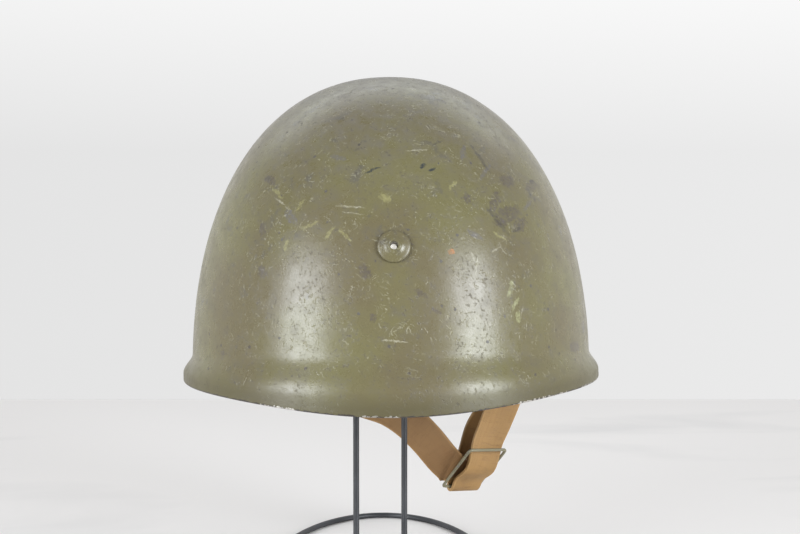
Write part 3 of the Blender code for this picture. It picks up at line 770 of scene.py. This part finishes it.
        # the raw edge: dark and chipped, with bare steel where hands and shelves rubbed it
        ragNoise = add("TexNoise", {"Vector": place, "Scale": perMetre / paint["rimRag"], "Detail": 4.0})
        rag = add("MapRange", {"Value": ragNoise, "From Min": 0.35, "From Max": 0.65,
                               "To Min": paint["rimThin"], "To Max": paint["rimWide"]})
        rimWorn = add("Math", {0: rim, 1: rag}, operation="LESS_THAN")
        colour = add("Mix", {0: rimWorn, 6: colour, 7: hexColour(paint["rimDark"])}, data_type="RGBA")
        rubbed = add("TexNoise", {"Vector": place, "Scale": perMetre / paint["rubbedSize"], "Detail": 3.0})
        rubbedMore = add("Math", {0: axes.outputs["X"], 1: 0.9, 2: rubbed}, operation="MULTIPLY_ADD")
        rubbedHere = add("Math", {0: rubbedMore, 1: 0.50}, operation="GREATER_THAN")
        glint = add("MapRange", {"Value": specks, "From Min": 0.40, "From Max": 0.60,
                                 "To Max": paint["rimWide"]})
        lowest = add("Math", {0: rim, 1: glint}, operation="LESS_THAN")
        bare = add("Math", {0: rubbedHere, 1: lowest}, operation="MULTIPLY")
        colour = add("Mix", {0: bare, 6: colour, 7: hexColour(paint["steel"])}, data_type="RGBA")
        setInputs(shader, {"Metallic": bare})
    # polish varies with the handling; worn and chipped places are matt
    polish = add("MapRange", {"Value": mottle, "From Min": 0.3, "From Max": 0.7,
                              "To Min": paint["roughness"] - paint["polishSpan"],
                              "To Max": paint["roughness"] + paint["polishSpan"]})
    matt = add("Math", {0: depth, 1: 0.20}, operation="MULTIPLY")
    rough = add("Math", {0: polish, 1: matt}, operation="ADD")
    crownRougher = add("Math", {0: paintedCrownSheen, 1: 0.12}, operation="MULTIPLY")
    rough = add("Math", {0: rough, 1: crownRougher}, operation="ADD")
    if withMarks:
        rough = add("Math", {0: low, 1: 0.14, 2: rough}, operation="MULTIPLY_ADD")
    # the coat is slightly grainy, and damage lies below it
    sunk = add("Math", {0: depth, 1: -1.8}, operation="MULTIPLY")
    grain = add("Math", {0: specks, 1: 0.9, 2: sunk}, operation="MULTIPLY_ADD")
    bump = add("Bump", {"Height": grain, "Strength": 0.6, "Distance": paint["bumpDepth"]})
    setInputs(shader, {"Base Color": colour, "Roughness": rough, "Normal": bump})
    return material


# strap leather: vegetable tanned cowhide, rolled smooth and unlined. It gives the eye a warm even tan
# with long soft fibres, paler cut edges, and darkened folds; the left run darkens with painted shade
# towards the buckle. The grain is drawn coarser than the real 0.3 mm so that it shows.
leather = {
    "tan": "#a07c4b", "tanDeep": "#917044", "stain": "#7a5632", "edge": "#b8925f", "crease": "#6a4a2c",
    # the next colour is painted shade for the left run near the buckle
    "paintedShade": "#67492e", "paintedShadeFrom": 0.06, "paintedShadeTo": 0.215, "paintedShadeEnd": 0.227,
    "edgeBand": 0.0011, "edgeFull": 0.0003, "fibreLength": 22, "fibreWidth": 1.3, "grainSize": 0.9,
    "creaseGap": 5, "creaseWidth": 40, "toneSize": 22, "stainSize": 9, "roughLow": 0.50,
    "roughHigh": 0.66, "bumpDepth": 0.00012,
}


def makeLeather():
    material, add, shader = newMaterial("vegetableTannedLeather")
    flat = add("UVMap", uv_map="strapMap").outputs["UV"]
    axes = add("SeparateXYZ", {0: flat})
    place = add("TexCoord").outputs["Object"]
    broad = add("TexNoise", {"Vector": place, "Scale": perMetre / leather["toneSize"], "Detail": 4.0})
    toned = add("MapRange", {"Value": broad, "From Min": 0.35, "From Max": 0.65})
    colour = add("Mix", {0: toned, 6: hexColour(leather["tan"]), 7: hexColour(leather["tanDeep"])},
                 data_type="RGBA")
    alongFibre = add("Mapping", {"Vector": flat,
                                 "Scale": (perMetre / leather["fibreWidth"],
                                           perMetre / leather["fibreLength"], 1.0)})
    fibres = add("TexNoise", {"Vector": alongFibre, "Scale": 1.0, "Detail": 4.0})
    fibred = add("MapRange", {"Value": fibres, "From Min": 0.50, "From Max": 0.75, "To Max": 0.22})
    colour = add("Mix", {0: fibred, 6: colour, 7: hexColour(leather["stain"])}, data_type="RGBA")
    # painted shade: the left run darkens on its way down to the buckle
    paintedShade = add("MapRange", {"Value": axes.outputs["Y"], "From Min": leather["paintedShadeFrom"],
                               "From Max": leather["paintedShadeTo"]})
    before = add("Math", {0: axes.outputs["Y"], 1: leather["paintedShadeEnd"]}, operation="LESS_THAN")
    paintedShade = add("Math", {0: paintedShade, 1: before}, operation="MULTIPLY")
    paintedShade = add("Math", {0: paintedShade, 1: 0.70}, operation="MULTIPLY")
    colour = add("Mix", {0: paintedShade, 6: colour, 7: hexColour(leather["paintedShade"])}, data_type="RGBA")
    stains = add("TexNoise", {"Vector": place, "Scale": perMetre / leather["stainSize"], "Detail": 5.0})
    stained = add("MapRange", {"Value": stains, "From Min": 0.56, "From Max": 0.74, "To Max": 0.32})
    colour = add("Mix", {0: stained, 6: colour, 7: hexColour(leather["stain"])}, data_type="RGBA")
    acrossFolds = add("Mapping", {"Vector": flat,
                                  "Scale": (perMetre / leather["creaseWidth"],
                                            perMetre / leather["creaseGap"], 1.0)})
    folds = add("TexNoise", {"Vector": acrossFolds, "Scale": 1.0, "Detail": 5.0})
    foldLine = add("Math", {0: folds, 1: 0.5}, operation="SUBTRACT")
    foldSide = add("Math", {0: foldLine}, operation="ABSOLUTE")
    creased = add("MapRange", {"Value": foldSide, "From Min": 0.012, "From Max": 0.0, "To Max": 0.30})
    colour = add("Mix", {0: creased, 6: colour, 7: hexColour(leather["crease"])}, data_type="RGBA")
    fromMiddle = add("Math", {0: axes.outputs["X"]}, operation="ABSOLUTE")
    cutEdge = add("MapRange", {"Value": fromMiddle, "From Min": strap["width"] / 2 - leather["edgeBand"],
                               "From Max": strap["width"] / 2 - leather["edgeFull"], "To Max": 0.35})
    colour = add("Mix", {0: cutEdge, 6: colour, 7: hexColour(leather["edge"])}, data_type="RGBA")
    rough = add("MapRange", {"Value": stains, "From Min": 0.3, "From Max": 0.7,
                             "To Min": leather["roughLow"], "To Max": leather["roughHigh"]})
    grain = add("TexVoronoi", {"Vector": place, "Scale": perMetre / leather["grainSize"]})
    relief = add("Math", {0: fibres, 1: 0.8, 2: grain}, operation="MULTIPLY_ADD")
    creaseDepth = add("Math", {0: creased, 1: -3.0, 2: relief}, operation="MULTIPLY_ADD")
    bump = add("Bump", {"Height": creaseDepth, "Strength": 0.5, "Distance": leather["bumpDepth"]})
    setInputs(shader, {"Base Color": colour, "Roughness": rough, "Normal": bump})
    return material


# buckle wire: drawn steel, dipped in grey-green lacquer. It gives the eye a dull khaki with the metal
# showing where the strap and fingers rub.
lacquer = {
    "main": "#878067", "deep": "#706b55", "spot": "#8e8c84", "cloudSize": 6, "spotSize": 2.2,
    "spotFrom": 0.60, "spotTo": 0.66, "roughness": 0.48, "spotRoughness": 0.34, "bumpDepth": 0.00008,
}
# strap rings: drawn mild steel wire, left bare. It gives the eye a dull grey with brown age spots.
ringSteel = {
    "main": "#8d8b86", "deep": "#5f5b56", "spot": "#6b5543", "cloudSize": 5, "spotSize": 1.8,
    "spotFrom": 0.55, "spotTo": 0.68, "roughness": 0.34, "spotRoughness": 0.62, "bumpDepth": 0.00006,
}


def makeWireFinish(name, look, bareSpots, **values):
    # a clouded finish with small spots, which on the lacquer show bare metal
    material, add, shader = newMaterial(name, **values)
    place = add("TexCoord").outputs["Object"]
    cloud = add("TexNoise", {"Vector": place, "Scale": perMetre / look["cloudSize"], "Detail": 4.0})
    colour = add("Mix", {0: cloud, 6: hexColour(look["main"]), 7: hexColour(look["deep"])},
                 data_type="RGBA")
    spots = add("TexNoise", {"Vector": place, "Scale": perMetre / look["spotSize"], "Detail": 5.0})
    spotted = add("MapRange", {"Value": spots, "From Min": look["spotFrom"], "From Max": look["spotTo"]})
    colour = add("Mix", {0: spotted, 6: colour, 7: hexColour(look["spot"])}, data_type="RGBA")
    rough = add("MapRange", {"Value": spotted, "To Min": look["roughness"],
                             "To Max": look["spotRoughness"]})
    bump = add("Bump", {"Height": spots, "Strength": 0.4, "Distance": look["bumpDepth"]})
    setInputs(shader, {"Base Color": colour, "Roughness": rough, "Normal": bump})
    if bareSpots:
        setInputs(shader, {"Metallic": spotted})
    return material


# stand coat: black polyester powder, baked on steel wire. It gives the eye a charcoal satin with the
# faint pebble of the powder, drawn coarser than the real 0.1 mm so that it shows.
powder = {"black": "#2b2c2f", "dust": "#4a4b4e", "pebbleSize": 0.6, "dustSize": 16,
          "roughLow": 0.36, "roughHigh": 0.54, "bumpDepth": 0.00008}


def makePowderCoat():
    material, add, shader = newMaterial("blackPowderCoat")
    place = add("TexCoord").outputs["Object"]
    pebble = add("TexNoise", {"Vector": place, "Scale": perMetre / powder["pebbleSize"], "Detail": 2.0})
    dust = add("TexNoise", {"Vector": place, "Scale": perMetre / powder["dustSize"], "Detail": 5.0})
    dusty = add("MapRange", {"Value": dust, "From Min": 0.45, "From Max": 0.75, "To Max": 0.5})
    colour = add("Mix", {0: dusty, 6: hexColour(powder["black"]), 7: hexColour(powder["dust"])},
                 data_type="RGBA")
    rough = add("MapRange", {"Value": pebble, "To Min": powder["roughLow"], "To Max": powder["roughHigh"]})
    bump = add("Bump", {"Height": pebble, "Strength": 0.4, "Distance": powder["bumpDepth"]})
    setInputs(shader, {"Base Color": colour, "Roughness": rough, "Normal": bump})
    return material


# vent pad: bleached wool felt, pressed. It gives the eye a flat soft white with a few darker hairs, drawn
# coarser than the real 0.03 mm so that they show, and it glows with painted light.
felt = {"white": "#e9e7e2", "hair": "#bdb8ad", "hairSize": 0.5, "roughness": 0.9, "paintedGlow": 0.7,
        "bumpDepth": 0.0001}


def makeFelt():
    material, add, shader = newMaterial("pressedWhiteFelt", Roughness=felt["roughness"])
    place = add("TexCoord").outputs["Object"]
    hairs = add("TexNoise", {"Vector": place, "Scale": perMetre / felt["hairSize"], "Detail": 5.0})
    hairy = add("MapRange", {"Value": hairs, "From Min": 0.5, "From Max": 0.8})
    colour = add("Mix", {0: hairy, 6: hexColour(felt["white"]), 7: hexColour(felt["hair"])},
                 data_type="RGBA")
    bump = add("Bump", {"Height": hairs, "Strength": 0.5, "Distance": felt["bumpDepth"]})
    # painted light: the felt glows, though it is no lamp
    setInputs(shader, {"Base Color": colour, "Normal": bump, "Emission Color": colour,
                             "Emission Strength": felt["paintedGlow"]})
    return material


# table and light: a pale table top that ends behind the stand, in an even white room
studio = {
    "table": "#efebe8", "vein": "#dbd8d6", "tableHalfWidth": 2.4, "tableNear": -0.45, "tableFar": 0.73,
    "tableThickness": 0.03, "tableRound": 0.004, "tableRoughness": 0.42,
    "backdropLow": 0.80, "backdropHigh": 0.93, "rightwards": 0.085, "nearSide": 0.50,
    "zenith": 0.40, "floorSide": 0.28, "lampTint": (0.91, 0.955, 1.0),
}
softboxes = [
    {"name": "leftSoftbox", "place": (-1.15, -0.90, 0.42), "size": (0.70, 0.80), "power": 22.0},
    {"name": "rightSoftbox", "place": (1.12, -0.96, 0.44), "size": (0.62, 0.76), "power": 24.0},
    {"name": "overheadSoftbox", "place": (0.0, 0.95, 1.30), "size": (2.4, 0.7), "power": 8.5},
]
aimPoint = Vector((0.006, -0.02, 0.19))


def makeTable():
    bm = bmesh.new()
    bmesh.ops.create_cube(bm, size=1.0)
    length = studio["tableFar"] - studio["tableNear"]
    bmesh.ops.scale(bm, vec=(2 * studio["tableHalfWidth"], length, studio["tableThickness"]),
                    verts=bm.verts)
    middle = (studio["tableFar"] + studio["tableNear"]) / 2
    bmesh.ops.translate(bm, vec=(0.0, middle, -studio["tableThickness"] / 2), verts=bm.verts)
    bmesh.ops.bevel(bm, geom=bm.edges[:], affect="EDGES", offset=studio["tableRound"], segments=3,
                    profile=0.5, material=-1)
    material, add, shader = newMaterial("honedPaleStone", Roughness=studio["tableRoughness"])
    place = add("TexCoord").outputs["Object"]
    drift = add("Mapping", {"Vector": place, "Rotation": (0.0, 0.0, 0.6), "Scale": (2.2, 7.0, 1.0)})
    cloud = add("TexNoise", {"Vector": drift, "Scale": 1.0, "Detail": 5.0, "Distortion": 0.6})
    veined = add("MapRange", {"Value": cloud, "From Min": 0.55, "From Max": 0.75, "To Max": 0.8})
    colour = add("Mix", {0: veined, 6: hexColour(studio["table"]), 7: hexColour(studio["vein"])},
                 data_type="RGBA")
    setInputs(shader, {"Base Color": colour})
    table = meshObject("tableTop", bm, material)


def makeLights():
    scene = bpy.context.scene
    scene.view_settings.view_transform = "Standard"
    scene.world = bpy.data.worlds.new("whiteRoom")
    scene.world.use_nodes = True
    # brighter upwards and to the right behind the helmet, calmer on the camera's side
    add = partial(addNode, scene.world.node_tree)
    heading = add("SeparateXYZ", {0: add("TexCoord").outputs["Generated"]})
    low, high = studio["backdropLow"], studio["backdropHigh"]
    rise = add("MapRange", {"Value": heading.outputs["Z"], "From Min": 0.04, "From Max": 0.15,
                            "To Min": low, "To Max": high})
    lean = add("Math", {0: heading.outputs["X"], 1: studio["rightwards"], 2: rise},
               operation="MULTIPLY_ADD")
    behind = add("MapRange", {"Value": heading.outputs["Y"], "From Min": -0.3, "From Max": 0.5})
    level = add("Mix", {0: behind, 2: studio["nearSide"], 3: lean}, data_type="FLOAT")
    upwards = add("MapRange", {"Value": heading.outputs["Z"], "From Min": 0.20, "From Max": 0.60})
    level = add("Mix", {0: upwards, 2: level, 3: studio["zenith"]}, data_type="FLOAT")
    downwards = add("MapRange", {"Value": heading.outputs["Z"], "From Min": -0.20, "From Max": -0.50})
    level = add("Mix", {0: downwards, 2: level, 3: studio["floorSide"]}, data_type="FLOAT")
    setInputs(scene.world.node_tree.nodes["Background"], {"Strength": level, "Color": (1.0, 1.0, 1.0, 1.0)})
    for box in softboxes:
        data = bpy.data.lights.new(box["name"], "AREA")
        data.shape = "RECTANGLE"
        data.size, data.size_y = box["size"]
        data.energy = box["power"]
        data.color = studio["lampTint"]
        light = bpy.data.objects.new(box["name"], data)
        light.location = box["place"]
        light.rotation_euler = (aimPoint - light.location).to_track_quat("-Z", "Y").to_euler()
        scene.collection.objects.link(light)


# the pieces
shell = makeShell()
finishPiece(shell, makeHelmetPaint("agedOliveEnamel", True), "olive_paint", "helmet_shell")
print("helmet shell made")
rivetPaint = makeHelmetPaint("rivetOliveEnamel", False)
for ventName, ventRow in vents.items():
    finishPiece(makeRivet(ventName, ventRow), rivetPaint, "olive_paint", ventName)
finishPiece(makeVentPad(vents["vent_rivet_rear"]), makeFelt(), "olive_paint")
print("vent rivets made")
wireSteel = makeWireFinish("drawnSteelWire", ringSteel, False, Metallic=1.0)
for ringName, ringSide in (("strap_ring_left", -1), ("strap_ring_right", 1)):
    ringPiece = wirePiece(ringName.replace("strap_ring", "strapRing"),
                          roundedCorners(ringCorners(ringSide), ring["corner"], ring["cornerSteps"]),
                          ring["wireRadius"], True)
    roundShade(ringPiece)
    finishPiece(ringPiece, wireSteel, "ring_steel", ringName)
finishPiece(makeStrap(), makeLeather(), "tan_leather", "chin_strap")
bucklePiece = wirePiece("strapBuckle",
                        roundedCorners(buckleCorners(), buckle["corner"], buckle["cornerSteps"]),
                        buckle["wireRadius"], True)
roundShade(bucklePiece)
buckleFinish = makeWireFinish("lacqueredBuckleWire", lacquer, True)
finishPiece(bucklePiece, buckleFinish, "grey_green_paint", "strap_buckle")
print("strap, rings and buckle made")
finishPiece(makeStand(), makePowderCoat(), "black_wire", "wire_stand")
print("stand made")
makeTable()
makeLights()
print("table and light set")

bpy.context.view_layer.update()
